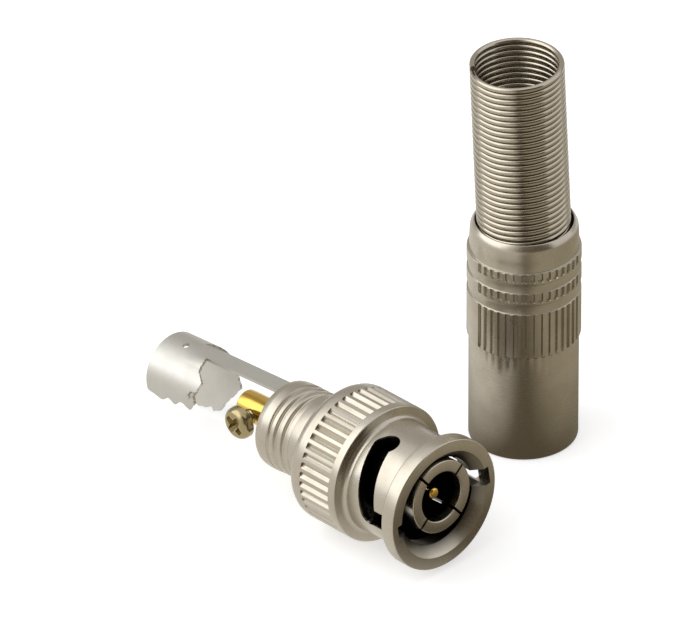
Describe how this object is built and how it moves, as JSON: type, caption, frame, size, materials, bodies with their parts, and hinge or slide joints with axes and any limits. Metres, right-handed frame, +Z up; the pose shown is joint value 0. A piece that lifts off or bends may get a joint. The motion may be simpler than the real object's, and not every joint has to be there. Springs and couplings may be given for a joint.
{
  "type": "screw-on bnc plug",
  "caption": "Straight bayonet plug for coaxial cable with screw terminal and cable clamp, its screw-on back shell with strain relief spring taken off and stood beside it.",
  "frame": {"origin": "middle of the whole part's box, on the surface it stands on", "axes": "+Z up, +X level and the way the plug's mouth points, +Y from the plug towards the standing back shell"},
  "size_m": [0.042, 0.0378, 0.0462],
  "materials": {
    "nickel_ring": "satin nickel plate",
    "nickel_body": "satin nickel plate",
    "nickel_shell": "satin nickel plate",
    "bright_steel": "nickel plated spring wire",
    "sheet_nickel": "satin nickel plated sheet",
    "spring_steel": "plain spring steel",
    "gold_plate": "gold plate",
    "screw_plate": "yellow passivated",
    "insulator": "moulded acetal",
    "gasket": "silicone rubber"
  },
  "bodies": {
    "plug": {"plug_body": "nickel_body", "outer_contact": "nickel_body", "front_gasket": "gasket", "retaining_ring": "spring_steel", "insulator_front": "insulator", "insulator_rear": "insulator", "centre_contact": "gold_plate", "cable_clamp": "sheet_nickel", "back_shell": "nickel_shell", "strain_relief_spring": "bright_steel"},
    "washer_stack": {"slip_washer": "spring_steel", "spring_washer_front": "spring_steel", "spring_washer_rear": "spring_steel"},
    "ring": {"coupling_ring": "nickel_ring"},
    "screw": {"terminal_screw": "screw_plate"}
  },
  "joints": [
    {"name": "ring_slide", "type": "slide", "parent": "plug", "child": "washer_stack", "axis": [0.9994, 0, 0.0341], "range_m": [0, 0.0008], "stiffness_N_per_m": 4000, "deforming": ["spring_washer_front", "spring_washer_rear"]},
    {"name": "ring_turn", "type": "hinge", "parent": "washer_stack", "child": "ring", "pos_m": [0.00532, -0.01127, 0.00762], "axis": [0.9994, 0, 0.0341], "continuous": true},
    {"name": "screw_travel", "type": "slide", "parent": "plug", "child": "screw", "axis": [0.0032, -0.9994, -0.0348], "range_m": [-0.00095, 0.0003]}
  ]
}
